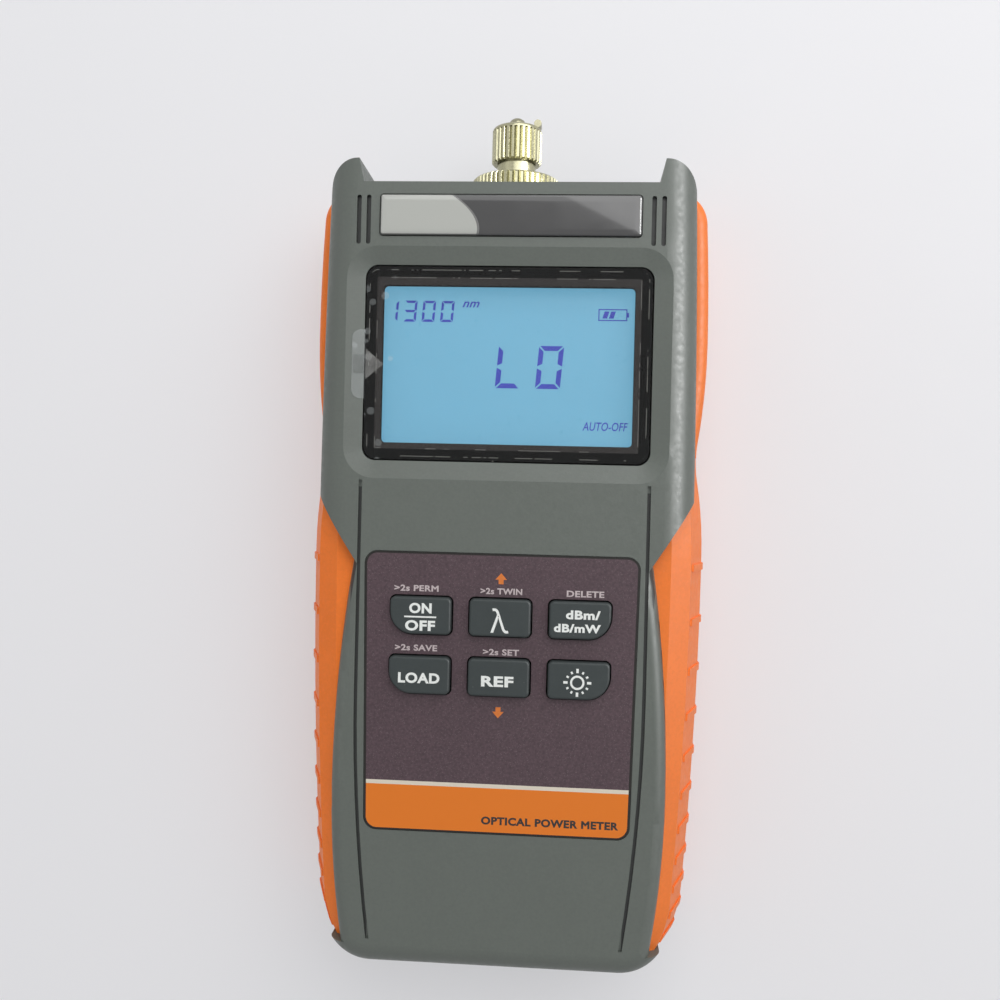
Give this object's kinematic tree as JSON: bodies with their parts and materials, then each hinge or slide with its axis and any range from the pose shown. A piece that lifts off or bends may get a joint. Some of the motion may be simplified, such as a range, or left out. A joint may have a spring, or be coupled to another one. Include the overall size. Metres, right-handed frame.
{
  "type": "optical power meter",
  "caption": "Handheld optical power meter with a display, a keypad, rubber side grips and a capped round fibre port between two ears.",
  "frame": {"origin": "on the plane of the back face, under the middle of the meter's bounding box", "axes": "+Z out of the display and keypad, +Y along the case towards the fibre port, +X to the right as the display is read"},
  "size_m": [0.0826, 0.1758, 0.0346],
  "materials": {
    "housing_plastic": "satin",
    "grip_rubber": "satin",
    "plate_paint": "satin",
    "window_plastic": "polished",
    "tape_film": "matte",
    "clear_film": "gloss",
    "frame_plastic": "matte",
    "display_glass": "polished",
    "light_guide": "gloss",
    "contact_rubber": "matte",
    "board_laminate": "satin",
    "chip_resin": "matte",
    "key_rubber": "satin",
    "mat_rubber": "matte",
    "label_film": "satin",
    "dome_steel": "satin",
    "plated_brass": "satin",
    "steel": "satin",
    "cell_wrap": "gloss"
  },
  "bodies": {
    "housing": {"front_shell": "housing_plastic", "back_shell": "housing_plastic", "grip_left": "grip_rubber", "grip_right": "grip_rubber", "nameplate": "plate_paint", "display_lens": "window_plastic", "lens_tape": "tape_film", "screen_film": "clear_film", "lcd_frame": "frame_plastic", "lcd_panel": "display_glass", "lcd_backlight": "light_guide", "zebra_strip": "contact_rubber", "main_board": "board_laminate", "processor_chip": "chip_resin", "amplifier_chip": "chip_resin", "keypad_mat": "mat_rubber", "keypad_label": "label_film", "snap_domes": "dome_steel", "detector_port": "plated_brass", "adapter": "plated_brass", "photodiode": "steel", "case_screws": "steel", "board_screws": "steel", "plate_contacts": "steel", "leaf_contacts": "steel", "battery_1": "cell_wrap", "battery_2": "cell_wrap", "battery_3": "cell_wrap"},
    "ring": {"adapter_ring": "plated_brass"},
    "cap": {"dust_cap": "plated_brass", "tether_strip": "steel", "rivet": "steel"},
    "door": {"battery_door": "housing_plastic"},
    "fold_out_stand": {"stand": "housing_plastic"},
    "key_power_body": {"key_power": "key_rubber"},
    "key_wavelength_body": {"key_wavelength": "key_rubber"},
    "key_unit_body": {"key_unit": "key_rubber"},
    "key_load_body": {"key_load": "key_rubber"},
    "key_reference_body": {"key_reference": "key_rubber"},
    "key_light_body": {"key_light": "key_rubber"}
  },
  "joints": [
    {"name": "key_power_press", "type": "slide", "parent": "housing", "child": "key_power_body", "axis": [0, 0, -1], "range_m": [0, 0.001], "stiffness_N_per_m": 400},
    {"name": "key_wavelength_press", "type": "slide", "parent": "housing", "child": "key_wavelength_body", "axis": [0, 0, -1], "range_m": [0, 0.001], "stiffness_N_per_m": 400},
    {"name": "key_unit_press", "type": "slide", "parent": "housing", "child": "key_unit_body", "axis": [0, 0, -1], "range_m": [0, 0.001], "stiffness_N_per_m": 400},
    {"name": "key_load_press", "type": "slide", "parent": "housing", "child": "key_load_body", "axis": [0, 0, -1], "range_m": [0, 0.001], "stiffness_N_per_m": 400},
    {"name": "key_reference_press", "type": "slide", "parent": "housing", "child": "key_reference_body", "axis": [0, 0, -1], "range_m": [0, 0.001], "stiffness_N_per_m": 400},
    {"name": "key_light_press", "type": "slide", "parent": "housing", "child": "key_light_body", "axis": [0, 0, -1], "range_m": [0, 0.001], "stiffness_N_per_m": 400},
    {"name": "ring_turn", "type": "hinge", "parent": "housing", "child": "ring", "pos_m": [0, 0.07205, 0.0165], "axis": [0, 1, 0], "continuous": true},
    {"name": "cap_pull", "type": "slide", "parent": "housing", "child": "cap", "axis": [0, 1, 0], "range_m": [0, 0.03]},
    {"name": "door_swing", "type": "hinge", "parent": "housing", "child": "door", "pos_m": [0, -0.02105, 0], "axis": [1, 0, 0], "range_deg": [0, 75]},
    {"name": "stand_swing", "type": "hinge", "parent": "housing", "child": "fold_out_stand", "pos_m": [0, 0.05005, 0.0016], "axis": [1, 0, 0], "range_deg": [0, 55]}
  ]
}
